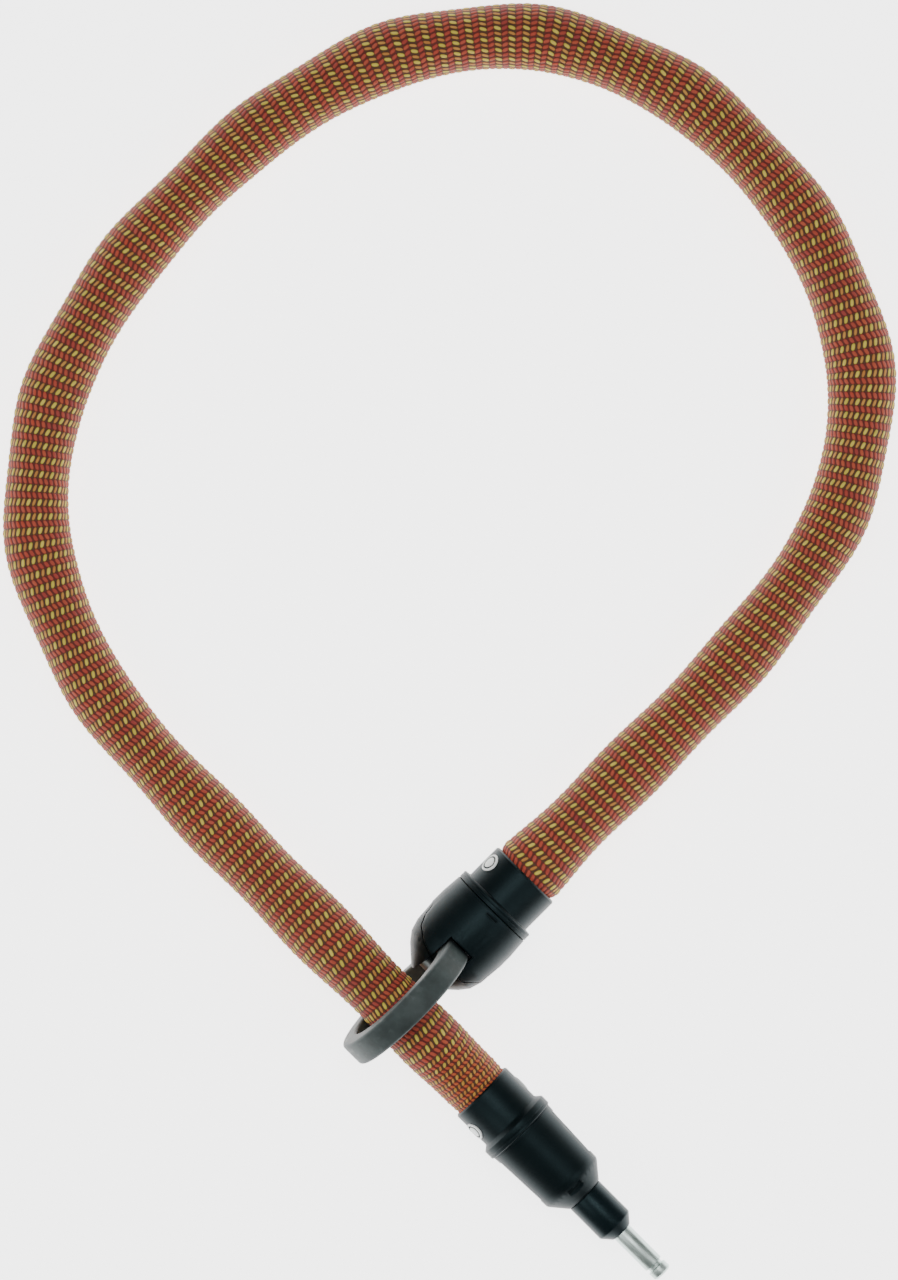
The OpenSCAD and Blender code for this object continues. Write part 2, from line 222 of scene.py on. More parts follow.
def corner_points():
    """The line that the sleeve is drawn over: the bars that the chain bends at."""
    points = [RING_RIM - 7 * way(1), back_bar(2)]
    for i in range(2, LINKS - 3, 2):
        points += [front_bar(i), back_bar(i + 2)]
    points += [front_bar(LINKS - 2), NOD, PLUG_RIM + 6 * way(LINKS)]
    return points


def smooth_line(points, steps=14):
    """The line with its corners rounded, each bend being a curve between middles."""
    line = [points[0]]
    for a, b, c in zip(points[:-2], points[1:-1], points[2:]):
        start, end = (a + b) / 2, (b + c) / 2
        for k in range(steps):
            t = k / steps
            line.append((1 - t) ** 2 * start + 2 * t * (1 - t) * b + t * t * end)
    line.append(points[-1])
    return np.array([tuple(p) for p in line])


LINE = smooth_line(corner_points())
ALONG = np.concatenate([[0], np.cumsum(np.linalg.norm(np.diff(LINE, axis=0), axis=1))])


def place_on_line(s):
    """Points and unit tangents at distances s along the sleeve's middle line."""
    point = np.stack([np.interp(s, ALONG, LINE[:, k]) for k in range(3)], axis=1)
    ahead = np.stack([np.interp(s + 1.5, ALONG, LINE[:, k]) for k in range(3)], axis=1)
    behind = np.stack([np.interp(s - 1.5, ALONG, LINE[:, k]) for k in range(3)], axis=1)
    tangent = ahead - behind
    tangent /= np.linalg.norm(tangent, axis=1, keepdims=True)
    return point, tangent


def distance_of(point):
    """How far along the line the nearest place to a point is."""
    return float(ALONG[np.argmin(np.linalg.norm(LINE - np.array(tuple(point)), axis=1))])


S_HEAD = distance_of(back_bar(2))
S_TAIL = distance_of(front_bar(LINKS - 2))
S_NOD = distance_of(NOD)
S_RIM = distance_of(RING_RIM)
S_PLUG = distance_of(PLUG_RIM)
S_END = float(ALONG[-1])
FLAT_MIDDLE = distance_of(CENTRES[3])


def weave_length(s):
    """Weave periods up to distance s: finer where the cloth is gathered at the plug."""
    plain = s / PERIOD
    gathered = np.clip(s - (S_END - GATHER), 0, None)
    return plain + 0.5 * gathered / PERIOD


DRAWN_FROM = float(weave_length(S_END - GATHER))


def half_sizes(s):
    """Half width and half height of the cloth: it swells over the flat links."""
    swell = np.cos(2 * np.pi * (s - FLAT_MIDDLE) / (2 * PITCH))
    slow = 0.22 * np.sin(s / 29.0 + 0.6) + 0.18 * np.sin(s / 17.0 + 2.1)
    mouth = 0.75 * np.exp(-((s - S_RIM) / 16.0) ** 2)
    wide = SLEEVE_R + 0.42 * swell + slow + mouth
    tall = SLEEVE_R - 0.3 * swell - 0.2 + 0.5 * mouth
    near_plug = np.clip((s - (S_PLUG - 26)) / 22.0, 0, 1)
    near_plug = near_plug * near_plug * (3 - 2 * near_plug)
    inside = np.clip((s - (S_PLUG - 3)) / 4.0, 0, 1)
    into_ring = np.clip((S_RIM + 1.5 - s) / 3.0, 0, 1)
    wide = wide * (1 - near_plug) + 9.85 * near_plug - 0.3 * inside
    tall = tall * (1 - near_plug) + 9.75 * near_plug - 0.2 * inside
    wide = wide * (1 - into_ring) + 10.1 * into_ring
    tall = tall * (1 - into_ring) + 10.1 * into_ring
    return wide, tall


def lean(f):
    """Sideways place of a thread within a period: it leans one way, then back."""
    up = -LEAN + 2 * LEAN * f / LONG_ROW
    down = LEAN - 2 * LEAN * (f - LONG_ROW) / (1 - LONG_ROW)
    return np.minimum(up, down)


def thread_height(column, f):
    """Height of the cloth's face over its ground, in mm, at a thread or a gap."""
    on_thread = column % 2 == 0
    strong = column % 4 == 0
    long_float = np.sin(np.pi * np.clip(f / LONG_ROW, 0, 1)) ** 0.6
    short_float = np.sin(np.pi * np.clip((f - LONG_ROW) / (1 - LONG_ROW), 0, 1)) ** 0.6
    height = 0.34 * long_float * np.where(strong, 1.0, 0.7) + 0.22 * short_float
    return np.where(on_thread, height, 0.0)


def row_distances(start, end):
    """Distances of the mesh's rows from start to end, at fixed places in the weave."""
    fine = np.linspace(0, S_END, 20000)
    periods = weave_length(fine)
    first, last = weave_length(start), weave_length(end)
    turns = [k + f for k in range(int(first) - 1, int(last) + 2) for f in ROWS]
    turns = [t for t in turns if first + 0.02 < t < last - 0.02]
    inner = np.interp(turns, periods, fine)
    return np.concatenate([[start], inner, [end]])


def weave_break(s):
    """The nearest place to s where one row of the weave ends and the next starts."""
    fine = np.linspace(0, S_END, 20000)
    return float(np.interp(round(float(weave_length(s))), weave_length(fine), fine))


def make_sleeve(name, start, end):
    """A stretch of the sleeve as a tube with raised threads, and its weave map."""
    s = row_distances(start, end)
    points, tangents = place_on_line(s)
    sides = np.cross((0, 0, 1), tangents)
    sides /= np.linalg.norm(sides, axis=1, keepdims=True)
    ups = np.cross(tangents, sides)
    periods = weave_length(s)
    part = periods - np.floor(periods)
    wide, tall = half_sizes(s)
    around = 2 * COLUMNS
    column = np.arange(around)
    shift = column[None, :] / 2 + lean(part)[:, None]
    angle = 2 * np.pi * shift / COLUMNS
    height = thread_height(column[None, :], part[:, None])
    across = (wide[:, None] + height) * np.cos(angle)
    upward = (tall[:, None] + height) * np.sin(angle)
    place = (points[:, None, :] + across[..., None] * sides[:, None, :]
             + upward[..., None] * ups[:, None, :]) * MM
    rows = len(s)
    verts = place.reshape(-1, 3)
    faces = []
    for r in range(rows - 1):
        for c in range(around):
            n = (c + 1) % around
            faces.append((r * around + c, r * around + n,
                          (r + 1) * around + n, (r + 1) * around + c))
    mesh = bpy.data.meshes.new(name)
    mesh.from_pydata(verts.tolist(), [], faces)
    layer = mesh.uv_layers.new(name="weave")
    corner = np.tile([[0, 0], [1, 0], [1, 1], [0, 1]], (len(faces), 1))
    row = np.repeat(np.arange(rows - 1), around * 4) + corner[:, 1]
    col = np.tile(np.repeat(column, 4), rows - 1) + corner[:, 0]
    uv = np.stack([col / 2 + lean(part)[row], periods[row]], axis=1)
    layer.data.foreach_set("uv", uv.astype(np.float32).ravel())
    mesh.validate()
    obj = bpy.data.objects.new(name, mesh)
    bpy.context.scene.collection.objects.link(obj)
    mesh.shade_smooth()
    return obj


def woven_textile():
    """Woven polyester sleeve: leaning yellow and orange floats over red short floats.

    The long floats stand proud with dark gaps between them, so rows of bright dashes
    run round the sleeve; the short floats lean the other way in reds. Each float is
    painted brighter at its middle and darker towards its edges and ends as painted
    shade, and the dark in the gaps is partly painted shade.
    """
    material, tree, shader = new_material("woven polyester sleeve")
    uv = add(tree, "UVMap", uv_map="weave")
    split = add(tree, "SeparateXYZ", {0: uv.outputs[0]})
    across, along = split.outputs[0], split.outputs[1]
    part = add(tree, "Math", {0: along}, operation="FRACT").outputs[0]
    row = add(tree, "Math", {0: along}, operation="FLOOR").outputs[0]
    is_long = add(tree, "Math", {0: part, 1: LONG_ROW}, operation="LESS_THAN").outputs[0]
    rising = add(tree, "MapRange", {0: part, 1: 0.0, 2: LONG_ROW, 3: -LEAN, 4: LEAN},
                 clamp=False).outputs[0]
    falling = add(tree, "MapRange", {0: part, 1: LONG_ROW, 2: 1.0, 3: LEAN, 4: -LEAN},
                  clamp=False).outputs[0]
    swing = add(tree, "Math", {0: rising, 1: falling}, operation="MINIMUM").outputs[0]
    thread = add(tree, "Math", {0: across, 1: swing}, operation="SUBTRACT").outputs[0]
    number = add(tree, "Math", {0: thread, 1: 0.5}, operation="ADD").outputs[0]
    number = add(tree, "Math", {0: number}, operation="FLOOR").outputs[0]
    off = add(tree, "Math", {0: thread, 1: number}, operation="SUBTRACT").outputs[0]
    off = add(tree, "Math", {0: off}, operation="ABSOLUTE").outputs[0]
    odd = add(tree, "Math", {0: number, 1: 2.0}, operation="MODULO").outputs[0]
    odd = add(tree, "Math", {0: odd}, operation="ABSOLUTE").outputs[0]

    # painted shade: each float is lightest at its middle and darker towards its ends
    long_place = add(tree, "MapRange", {0: part, 1: 0.0, 2: LONG_ROW, 3: -1.0, 4: 1.0})
    short_place = add(tree, "MapRange", {0: part, 1: LONG_ROW, 2: 1.0, 3: -1.0, 4: 1.0})
    place = add(tree, "Mix", {0: is_long, 2: short_place.outputs[0],
                              3: long_place.outputs[0]}).outputs[0]
    place = add(tree, "Math", {0: place}, operation="ABSOLUTE").outputs[0]
    place = add(tree, "Math", {0: place, 1: 3.0}, operation="POWER").outputs[0]

    long_half = add(tree, "Mix", {0: odd, 2: 0.36, 3: 0.29}).outputs[0]
    half = add(tree, "Mix", {0: is_long, 2: 0.36, 3: long_half}).outputs[0]
    inside = add(tree, "Math", {0: off, 1: half}, operation="DIVIDE").outputs[0]
    inside = add(tree, "Math", {0: inside, 1: 2.0}, operation="POWER").outputs[0]
    inside = add(tree, "Math", {0: inside, 1: place}, operation="ADD").outputs[0]
    # where threads lie, with a soft fall-off that is painted shade darkening each float
    # towards its edges
    face = add(tree, "MapRange", {0: inside, 1: 1.2, 2: 0.25, 3: 0.0, 4: 1.0},
               interpolation_type="SMOOTHSTEP").outputs[0]

    cell = add(tree, "CombineXYZ", {0: number, 1: row})
    chance = add(tree, "TexWhiteNoise", {0: cell.outputs[0]}, noise_dimensions="2D")
    chance = chance.outputs[0]
    spread = add(tree, "TexNoise", {"Vector": uv.outputs[0], "Scale": 0.11,
                                    "Detail": 2.0}).outputs[0]
    spread = add(tree, "MapRange", {0: spread, 1: 0.35, 2: 0.65}).outputs[0]

    bright = add(tree, "Mix", {0: chance, 6: colour("#c9b43a"), 7: colour("#d8c24c")},
                 data_type="RGBA").outputs[2]
    orange = add(tree, "Mix", {0: chance, 6: colour("#b8742f"), 7: colour("#c98d3f")},
                 data_type="RGBA").outputs[2]
    long_face = add(tree, "Mix", {0: odd, 6: bright, 7: orange}, data_type="RGBA")
    red = add(tree, "Mix", {0: chance, 6: colour("#b8401f"), 7: colour("#b04a38")},
              data_type="RGBA").outputs[2]
    wine = add(tree, "Mix", {0: chance, 6: colour("#8f2f30"), 7: colour("#b85028")},
               data_type="RGBA").outputs[2]
    short_face = add(tree, "Mix", {0: spread, 6: red, 7: wine}, data_type="RGBA")
    # near the plug the drawn-in cloth shows more of its orange threads
    drawn = add(tree, "MapRange", {0: along, 1: DRAWN_FROM, 2: DRAWN_FROM + 3, 3: 0.0,
                                   4: 0.75}).outputs[0]
    amber = add(tree, "Mix", {0: chance, 6: colour("#b0631f"), 7: colour("#d08c3a")},
                data_type="RGBA").outputs[2]
    long_face = add(tree, "Mix", {0: drawn, 6: long_face.outputs[2], 7: amber},
                    data_type="RGBA")
    short_face = add(tree, "Mix", {0: drawn, 6: short_face.outputs[2],
                                   7: colour("#bf5a26")}, data_type="RGBA")
    top = add(tree, "Mix", {0: is_long, 6: short_face.outputs[2],
                            7: long_face.outputs[2]}, data_type="RGBA").outputs[2]
    # the gap colour is partly the ground threads' own darker colour and partly painted shade
    # between the proud threads
    ground_and_gap_shade = add(tree, "Mix", {0: is_long, 6: colour("#5c1607"), 7: colour("#4a2c0c")},
                 data_type="RGBA").outputs[2]
    shade = add(tree, "Mix", {0: face, 6: ground_and_gap_shade, 7: top}, data_type="RGBA").outputs[2]

    fibre = add(tree, "TexNoise", {"Vector": uv.outputs[0], "Scale": 7.0,
                                   "Detail": 3.0}).outputs[0]
    relief = add(tree, "Math", {0: fibre, 1: 0.25}, operation="MULTIPLY").outputs[0]
    relief = add(tree, "Math", {0: face, 1: relief}, operation="ADD").outputs[0]
    bump = add(tree, "Bump", {"Height": relief, "Strength": 0.6, "Distance": 0.00025})
    tree.links.new(shade, shader.inputs["Base Color"])
    tree.links.new(bump.outputs[0], shader.inputs["Normal"])
    shader.inputs["Roughness"].default_value = 0.72
    shader.inputs["IOR"].default_value = 1.5
    shader.inputs["Sheen Weight"].default_value = 0.12
    shader.inputs["Sheen Roughness"].default_value = 0.4
    shader.inputs["Sheen Tint"].default_value = colour("#ffb98c")
    return material


TEXTILE = woven_textile()
JOIN_HEAD = weave_break(S_HEAD + 10)
JOIN_TAIL = weave_break(S_TAIL - 9)
JOIN_NOD = weave_break((S_TAIL + S_NOD) / 2)


def line_point(s):
    """The middle line's place at distance s, in metres."""
    return tuple(place_on_line(np.array([s]))[0][0] * MM)


def make_sleeves():
    """One tube in four stretches that share their end rows; the long one is carried by the
    chain loop.
    """
    reach = 7.5
    head = make_sleeve("sleeve_at_ring", 0.5, JOIN_HEAD)
    main = make_sleeve("sleeve_long", JOIN_HEAD, JOIN_TAIL)
    middle = make_sleeve("sleeve_behind_plug", JOIN_TAIL, JOIN_NOD)
    tail = make_sleeve("sleeve_at_plug", JOIN_NOD, S_END - 0.5)
    for piece in (head, main, middle, tail):
        paint(piece, TEXTILE)
    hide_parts("sleeve_head")
    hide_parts("sleeve_main")
    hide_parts("sleeve_mid")
    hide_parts("sleeve_tail")
    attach(main, "chain_loop")
    inside = [JOIN_HEAD, *np.arange(JOIN_HEAD + 6, JOIN_TAIL - 3, 6.0), JOIN_TAIL]
    run = [line_point(s) for s in inside]
    line_point(S_HEAD - 5)
    line_point(S_HEAD + reach)
    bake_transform(head)
    line_point(S_TAIL - reach)
    line_point(S_TAIL + reach)
    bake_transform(middle)
    line_point(S_NOD - 5.5)
    line_point(S_NOD + 5.5)
    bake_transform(tail)


make_sleeves()


# ---------------------------------------------------------------- plastics and metals
def moulded_plastic(name, dark, light, rough, grit):
    """Injection-moulded nylon: near black, a soft broad shine, and a spark-eroded grain."""
    material, tree, shader = new_material(name)
    place = add(tree, "TexCoord").outputs["Object"]
    # slow changes of tone about 9 mm across, as the melt flowed
    flow = add(tree, "TexNoise", {"Vector": place, "Scale": 1 / (9 * MM), "Detail": 4.0})
    flow = add(tree, "MapRange", {0: flow.outputs[0], 1: 0.3, 2: 0.7}).outputs[0]
    tone = add(tree, "Mix", {0: flow, 6: colour(dark), 7: colour(light)},
               data_type="RGBA").outputs[2]
    # real grit is about 0.1 mm, drawn coarser so that it shows
    tooth = add(tree, "TexNoise", {"Vector": place, "Scale": 1 / (grit * MM),
                                   "Detail": 2.0}).outputs[0]
    matt = add(tree, "MapRange", {0: tooth, 1: 0.3, 2: 0.7, 3: rough - 0.05,
                                  4: rough + 0.07}).outputs[0]
    bump = add(tree, "Bump", {"Height": tooth, "Strength": 0.25, "Distance": 0.00006})
    tree.links.new(tone, shader.inputs["Base Color"])
    tree.links.new(matt, shader.inputs["Roughness"])
    tree.links.new(bump.outputs[0], shader.inputs["Normal"])
    shader.inputs["IOR"].default_value = 1.53
    shader.inputs["Specular IOR Level"].default_value = 0.2
    shader.inputs["Specular Tint"].default_value = colour("#b4dce4")
    return material


def coated_steel():
    """Phosphated hardened steel: dark grey-green, matt, rubbed paler where it swings."""
    material, tree, shader = new_material("phosphated ring steel")
    place = add(tree, "TexCoord").outputs["Object"]
    patches = add(tree, "TexNoise", {"Vector": place, "Scale": 1 / (5 * MM),
                                     "Detail": 5.0}).outputs[0]
    patches = add(tree, "MapRange", {0: patches, 1: 0.32, 2: 0.7}).outputs[0]
    tone = add(tree, "Mix", {0: patches, 6: colour("#26302f"), 7: colour("#374241")},
               data_type="RGBA").outputs[2]
    drawn_out = add(tree, "Mapping", {"Vector": place, "Scale": (1, 1, 0.35)}).outputs[0]
    rubs = add(tree, "TexNoise", {"Vector": drawn_out, "Scale": 1 / (2.2 * MM),
                                  "Detail": 6.0}).outputs[0]
    rubs = add(tree, "MapRange", {0: rubs, 1: 0.58, 2: 0.74, 3: 0.0, 4: 0.22}).outputs[0]
    tone = add(tree, "Mix", {0: rubs, 6: tone, 7: colour("#5a6663")},
               data_type="RGBA").outputs[2]
    # the coating's crystals are far finer than 0.35 mm, drawn coarser so that they show
    tooth = add(tree, "TexNoise", {"Vector": place, "Scale": 1 / (0.35 * MM),
                                   "Detail": 3.0}).outputs[0]
    bump = add(tree, "Bump", {"Height": tooth, "Strength": 0.35, "Distance": 0.00008})
    matt = add(tree, "MapRange", {0: rubs, 1: 0.0, 2: 0.5, 3: 0.56, 4: 0.4}).outputs[0]
    tree.links.new(tone, shader.inputs["Base Color"])
    tree.links.new(matt, shader.inputs["Roughness"])
    tree.links.new(bump.outputs[0], shader.inputs["Normal"])
    shader.inputs["Metallic"].default_value = 0.25
    return material


def plated_steel(name, tone, pale, rough, size):
    """Plated steel: metal with a fine drawn grain that breaks up its reflections."""
    material, tree, shader = new_material(name)
    place = add(tree, "TexCoord").outputs["Object"]
    squeezed = add(tree, "Mapping", {"Vector": place, "Scale": (1, 1, 3)}).outputs[0]
    streak = add(tree, "TexNoise", {"Vector": squeezed, "Scale": 1 / (size * MM),
                                    "Detail": 4.0}).outputs[0]
    shade = add(tree, "Mix", {0: streak, 6: colour(tone), 7: colour(pale)},
                data_type="RGBA").outputs[2]
    matt = add(tree, "MapRange", {0: streak, 1: 0.3, 2: 0.7, 3: rough - 0.06,
                                  4: rough + 0.08}).outputs[0]
    bump = add(tree, "Bump", {"Height": streak, "Strength": 0.05, "Distance": 0.00002})
    tree.links.new(shade, shader.inputs["Base Color"])
    tree.links.new(matt, shader.inputs["Roughness"])
    tree.links.new(bump.outputs[0], shader.inputs["Normal"])
    shader.inputs["Metallic"].default_value = 1.0
    return material


def printed_disc():
    """Moulded acetal disc: clean off-white, satin, with a faint mottle."""
    material, tree, shader = new_material("printed acetal disc")
    place = add(tree, "TexCoord").outputs["Object"]
    mottle = add(tree, "TexNoise", {"Vector": place, "Scale": 1 / (0.8 * MM),
                                    "Detail": 3.0}).outputs[0]
    shade = add(tree, "Mix", {0: mottle, 6: colour("#e3e8e6"), 7: colour("#f7f9f8")},
                data_type="RGBA").outputs[2]
    tree.links.new(shade, shader.inputs["Base Color"])
    shader.inputs["Roughness"].default_value = 0.38
    shader.inputs["IOR"].default_value = 1.48
    return material


BODY = moulded_plastic("moulded black nylon", "#050b0d", "#091113", 0.42, 0.3)
SMOOTH = moulded_plastic("smooth black acetal", "#071013", "#0b1518", 0.34, 0.22)
INLAY = moulded_plastic("matt black rubber inlay", "#020303", "#040505", 0.62, 0.4)
COATED = coated_steel()
BRIGHT = plated_steel("nickel plated steel", "#b4c4be", "#c2cfca", 0.4, 6.0)
DULL = plated_steel("zinc plated steel", "#7c8281", "#b4b9b7", 0.42, 0.8)
OXIDE = plated_steel("black oxide steel", "#16191a", "#24292a", 0.5, 0.8)
DISC = printed_disc()


# ---------------------------------------------------------------- turned pieces
def alone(obj):
    """This piece is the only one selected, and the active one."""
    bpy.ops.object.select_all(action="DESELECT")
    obj.select_set(True)
    bpy.context.view_layer.objects.active = obj


def round_edges(obj, width, angle=30, segments=3):
    """Rounds the sharp edges as a mould or a tumbling barrel leaves them."""
    alone(obj)
    bevel = obj.modifiers.new("edges", "BEVEL")
    bevel.width = width * MM
    bevel.segments = segments
    bevel.limit_method = "ANGLE"
    bevel.angle_limit = math.radians(angle)
    bevel.harden_normals = False
    bpy.ops.object.modifier_apply(modifier="edges")
    bpy.ops.object.shade_smooth_by_angle(angle=math.radians(28))


def turned(name, profile, place, around=128, joined=False, edge=0.25):
    """A piece turned about local X: a circle extruded and resized from place to place.

    The profile is places along X and radii, in mm. A joined one is a ring whose last
    circle meets its first; any other has both ends closed.
    """
    bpy.ops.object.select_all(action="DESELECT")
    x, radius = profile[0]
    bpy.ops.mesh.primitive_circle_add(vertices=around, radius=radius * MM,
                                      fill_type="NOTHING" if joined else "NGON",
                                      location=(x * MM, 0, 0),
                                      rotation=(0, math.radians(90), 0))
    obj = bpy.context.object
    obj.name = name
    bpy.ops.object.transform_apply(location=True, rotation=True, scale=True)
    bpy.ops.object.mode_set(mode="EDIT")
    bpy.ops.mesh.select_all(action="SELECT")
    for (x0, r0), (x1, r1) in zip(profile[:-1], profile[1:]):
        bpy.ops.mesh.extrude_region_move(
            TRANSFORM_OT_translate={"value": ((x1 - x0) * MM, 0, 0)})
        grow = r1 / r0
        bpy.ops.transform.resize(value=(1, grow, grow), center_override=(x1 * MM, 0, 0))
    if joined:
        first, last = profile[0], profile[-1]
        bpy.ops.mesh.select_all(action="DESELECT")
        bpy.ops.object.mode_set(mode="OBJECT")
        for edge_at in obj.data.edges:
            ends = [obj.data.vertices[v].co for v in edge_at.vertices]
            for x, radius in (first, last):
                edge_at.select |= all(abs(e.x - x * MM) < 1e-6
                                      and abs(math.hypot(e.y, e.z) - radius * MM) < 1e-6
                                      for e in ends)
        bpy.ops.object.mode_set(mode="EDIT")
        bpy.ops.mesh.select_mode(type="EDGE")
        bpy.ops.mesh.bridge_edge_loops()
    bpy.ops.mesh.select_all(action="SELECT")
    bpy.ops.mesh.remove_doubles(threshold=1e-6)
    bpy.ops.mesh.normals_make_consistent(inside=False)
    bpy.ops.object.mode_set(mode="OBJECT")
    round_edges(obj, edge)
    obj.data.transform(place)
    return obj


def finish(obj, material, slot, body, *nodes):
    """Material, a slot name that is not used, body that carries it, and the nodes that it
    stands for.
    """
    paint(obj, material)
    if nodes:
        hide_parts(*nodes)
    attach(obj, body)


def refined(node, material, slot, body, width):
    """A merged copy of a node with its edges rounded, which stands for that node."""
    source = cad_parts[node]
    obj = bpy.data.objects.new(node + "_finished", source.data.copy())
    bpy.context.scene.collection.objects.link(obj)
    obj.data.transform(source.matrix_world)
    alone(obj)
    bpy.ops.object.mode_set(mode="EDIT")
    bpy.ops.mesh.select_all(action="SELECT")
    bpy.ops.mesh.remove_doubles(threshold=2e-6)
    bpy.ops.object.mode_set(mode="OBJECT")
    round_edges(obj, width, angle=32, segments=2)
    finish(obj, material, slot, body, node)


RING_X, RING_Z, RING_HOLE, RING_R, RING_W = 54.7688, 9.5589, 17.9988, 23.9988, 8.4
COLLAR_R = 12.3988
PLUG_COLLAR_R = 10.8988
PLUG_R = 12.6488
SLEEVE_OUT = 10.3988
NECK_X, BODY_L, NECK_L, NECK_R, PIN_R = 40.3, 46.2, 16.8, 6.4, 3.25


def make_ring():
    """Forged ring: a flat band with its faces very slightly crowned and edges eased."""
    half = RING_W / 2
    profile = [(-half, RING_HOLE + 0.6), (-half, RING_R - 0.6), (-half + 0.6, RING_R),
               (-half + 2.4, RING_R + 0.05), (half - 2.4, RING_R + 0.05),
               (half - 0.6, RING_R), (half, RING_R - 0.6), (half, RING_HOLE + 0.6),
               (half - 0.6, RING_HOLE), (-half + 0.6, RING_HOLE)]
    place = (AT_RING @ Matrix.Translation((RING_X * MM, 0, RING_Z * MM))
             @ Matrix.Rotation(math.radians(90), 4, "Z"))
    ring = turned("swing_ring", profile, place, around=160, joined=True, edge=0.35)
    finish(ring, COATED, "ring_coat", "ring", "ring")


def make_collars():
    """Collars that hold the cloth: a rolled lip, and fine joint lines at the ridge."""
    bore = SLEEVE_OUT + 0.1
    ring_profile = [(0.0, bore + 0.5), (0.0, COLLAR_R - 0.5), (0.5, COLLAR_R),
                    (12.2, COLLAR_R), (12.4, COLLAR_R + 0.25), (12.6, DOME_R - 0.55),
                    (12.9, DOME_R - 0.3), (13.55, DOME_R - 0.3), (13.65, DOME_R - 0.4),
                    (13.8, DOME_R - 0.4), (13.9, DOME_R - 0.3), (15.0, DOME_R - 0.3),
                    (15.28, DOME_R - 0.65), (15.28, bore + 0.4), (6.0, bore + 0.4),
                    (6.0, bore), (0.5, bore)]
    collar = turned("ring_end_collar", ring_profile, AT_RING, joined=True, edge=0.12)
    finish(collar, BODY, "black_plastic", "ring_end", "ring_collar")
    bore = SLEEVE_OUT - 0.4
    plug_profile = [(0.0, bore + 0.3), (0.0, PLUG_COLLAR_R - 0.4), (0.5, PLUG_COLLAR_R),
                    (12.9, PLUG_COLLAR_R), (13.3, PLUG_COLLAR_R + 0.2),
                    (14.5, PLUG_R - 0.1), (14.8, PLUG_R), (16.4, PLUG_R),
                    (16.5, PLUG_R - 0.1), (16.65, PLUG_R - 0.1), (16.75, PLUG_R),
                    (17.55, PLUG_R), (17.88, PLUG_R - 0.35), (17.88, 9.8), (6.0, 9.8),
                    (6.0, bore), (0.4, bore)]
    collar = turned("plug_end_collar", plug_profile, AT_PLUG, joined=True, edge=0.12)
    finish(collar, BODY, "black_plastic", "plug", "plug_collar")


def make_neck():
    """Smooth guide neck with a coned end, and a hairline groove where it meets the body."""
    end = BODY_L + NECK_L
    profile = [(NECK_X, PIN_R - 0.25), (NECK_X, 5.5), (BODY_L + 0.1, 5.5),
               (BODY_L + 0.1, NECK_R - 0.15), (BODY_L + 0.4, NECK_R),
               (end - 3.2, NECK_R), (end - 0.2, PIN_R + 0.55), (end, PIN_R + 0.35),
               (end, PIN_R - 0.25)]
    neck = turned("plug_guide_neck", profile, AT_PLUG, joined=True, edge=0.3)
    finish(neck, SMOOTH, "neck_plastic", "plug", "plug_neck")


def let_into(master, name, frame_at, x, turn, radius):
    """A copy of a small turned piece, laid on a collar so that it follows its curve."""
    obj = bpy.data.objects.new(name, master.data.copy())
    bpy.context.scene.collection.objects.link(obj)
    for vertex in obj.data.vertices:
        up, across, run = vertex.co
        bend = radius * MM - math.sqrt(max((radius * MM) ** 2 - across ** 2, 0))
        vertex.co = (run, across, radius * MM + up - bend)
    obj.data.transform(frame_at @ Matrix.Rotation(math.radians(turn), 4, "X")
                       @ Matrix.Translation((x * MM, 0, 0)))
    alone(obj)
    bpy.ops.object.mode_set(mode="EDIT")
    bpy.ops.mesh.select_all(action="SELECT")
    bpy.ops.mesh.normals_make_consistent(inside=False)
    bpy.ops.object.mode_set(mode="OBJECT")
    return obj


def make_discs():
    """Plain discs let into the collars, each with a raised rim and one dark ring."""
    face = [(-0.35, 3.1), (0.3, 3.1), (0.42, 2.95), (0.42, 2.5), (0.3, 2.4), (0.3, 1.9),
            (0.42, 1.8), (0.45, 1.2), (0.45, 0.02)]
    band = [(0.2, 2.42), (0.36, 2.42), (0.36, 1.88), (0.2, 1.88)]
    plain = Matrix.Identity(4)
    disc = turned("disc", face, plain, around=72, edge=0.05)
    ring = turned("disc_ring", band, plain, around=72, joined=True, edge=0.04)
    for node, body, *place in (
            ("badge_upper", "ring_end", AT_RING, 5.3, 66, COLLAR_R),
            ("badge_lower", "ring_end", AT_RING, 5.3, 246, COLLAR_R),
            ("plug_badge_left", "plug", AT_PLUG, 7.4, 68, PLUG_COLLAR_R),
            ("plug_badge_right", "plug", AT_PLUG, 7.4, 248, PLUG_COLLAR_R)):
        finish(let_into(disc, node + "_disc", *place), DISC, "badge", body, node)
        finish(let_into(ring, node + "_ring", *place), INLAY, "dark_inlay", body)
    for master in (disc, ring):
        bpy.data.objects.remove(master)


def block(name, place, centre, size, edge, material, slot, body):
    """A small moulded block: a cube scaled to its size, with its edges rounded."""
    bpy.ops.object.select_all(action="DESELECT")
    bpy.ops.mesh.primitive_cube_add(size=1, location=[c * MM for c in centre])
    obj = bpy.context.object
    obj.name = name
    obj.scale = [d * MM for d in size]
    bpy.ops.object.transform_apply(location=True, rotation=True, scale=True)
    round_edges(obj, edge)
    obj.data.transform(place)
    finish(obj, material, slot, body)


def make_small_blocks():
    """The web that closes the slot behind the ring, and a black strip in the sunk mark on
    each body as painted shade in that slot.
    """
    block("slot_web", AT_RING, (31.8, 0, -7), (3.2, 9.0, 2.4), 0.2, OXIDE, "inner_steel",
          "ring_end")
    # painted shade: black strips laid in the sunk mark slots of the shell and the plug body
    # darken them
    block("shell_slot_painted_shade", AT_RING, (16.95, 0, 13.95), (0.66, 4.3, 0.5), 0.08, INLAY,
          "dark_inlay", "ring_end")
    block("body_slot_painted_shade", AT_PLUG, (41.9, 0, 10.2), (0.76, 5.7, 0.5), 0.08, INLAY,
          "dark_inlay", "plug")


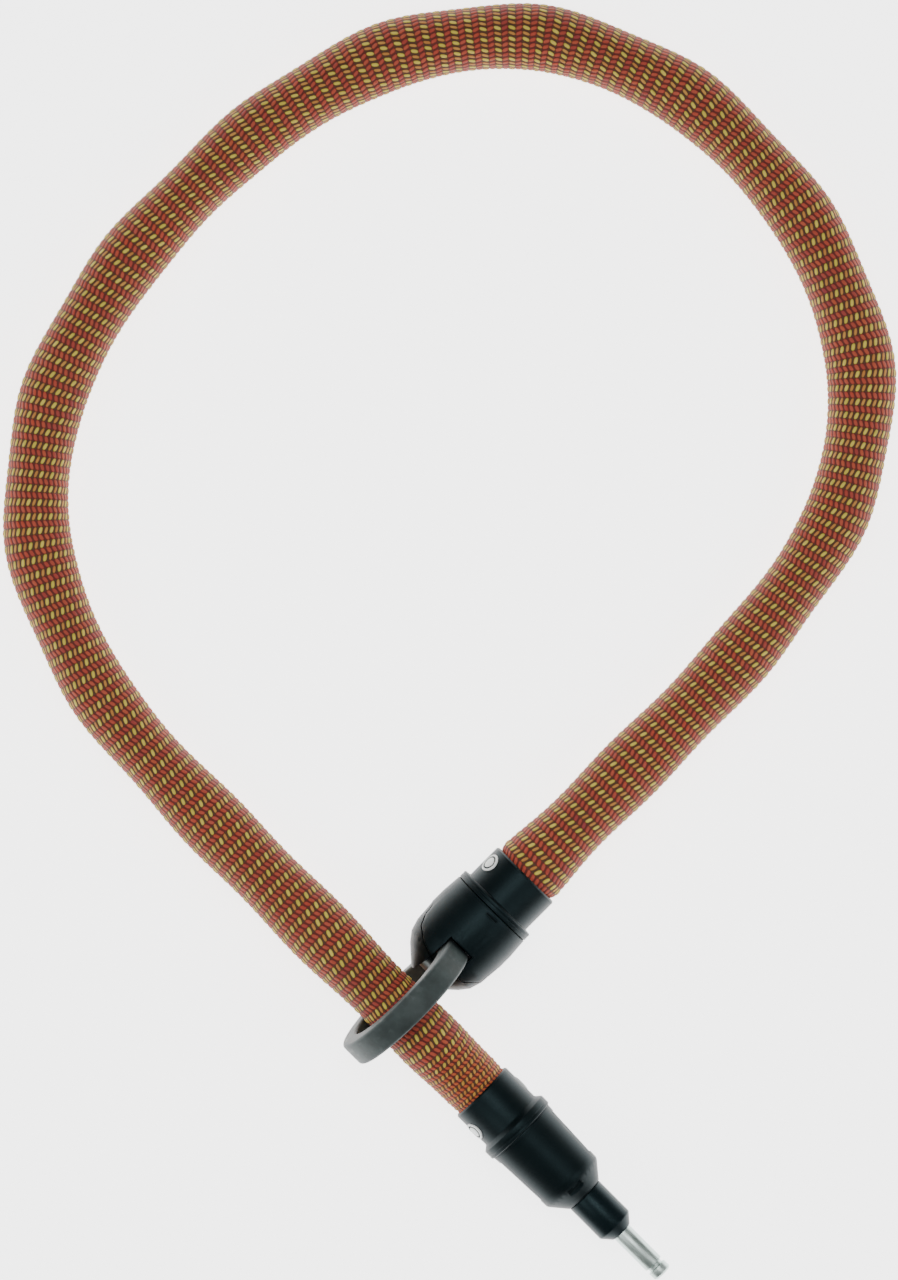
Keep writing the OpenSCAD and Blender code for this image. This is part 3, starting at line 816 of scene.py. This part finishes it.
make_ring()
make_collars()
make_neck()
make_discs()
make_small_blocks()
for node_name, width in (("ring_housing", 0.12), ("shell_top", 0.14), ("shell_bottom", 0.14)):
    refined(node_name, BODY, "black_plastic", "ring_end", width)
for node_name in ("plug_shell_top", "plug_shell_bottom"):
    refined(node_name, BODY, "black_plastic", "plug", 0.14)
for node_name in ("plug_inlay_right", "plug_inlay_left"):
    refined(node_name, INLAY, "dark_inlay", "plug", 0.12)
refined("plug_bolt", BRIGHT, "pin_steel", "plug", 0.15)
refined("ring_clevis", OXIDE, "inner_steel", "ring_end", 0.2)
for node_name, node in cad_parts.items():
    if node_name.startswith("link_") or node_name in ("ring_crimp", "plug_washer",
                                                      "ring_cross_pin"):
        paint(node, DULL)


# ---------------------------------------------------------------- floor and light
def make_studio():
    """A plain pale floor and large soft lights."""
    bpy.ops.mesh.primitive_plane_add(size=6, location=(0, 0, -0.0004))
    floor = bpy.context.object
    floor.name = "floor"
    # a lit table: the paper is lit from beneath as well as from above
    material, tree, shader = new_material("backlit white paper")
    shader.inputs["Base Color"].default_value = colour("#f6f6f6")
    shader.inputs["Emission Color"].default_value = (1, 1, 1, 1)
    shader.inputs["Emission Strength"].default_value = 3.6
    shader.inputs["Roughness"].default_value = 0.9
    paint(floor, material)
    world = bpy.data.worlds.new("studio")
    bpy.context.scene.world = world
    world.use_nodes = True
    background = world.node_tree.nodes["Background"]
    background.inputs[0].default_value = (1, 1, 1, 1)
    background.inputs[1].default_value = 0.16
    places = [((0.0, 0.1, 1.1), 0.5, 5.4), ((-0.8, -0.3, 0.9), 0.6, 4),
              ((0.85, -0.35, 0.9), 0.6, 4)]
    for k, (place, size, power) in enumerate(places):
        data = bpy.data.lights.new(f"softbox_{k}", "AREA")
        data.shape = "SQUARE"
        data.size = size
        data.energy = power
        light = bpy.data.objects.new(f"softbox_{k}", data)
        light.location = place
        light.rotation_euler = (-Vector(place)).to_track_quat("-Z", "Y").to_euler()
        bpy.context.scene.collection.objects.link(light)


make_studio()
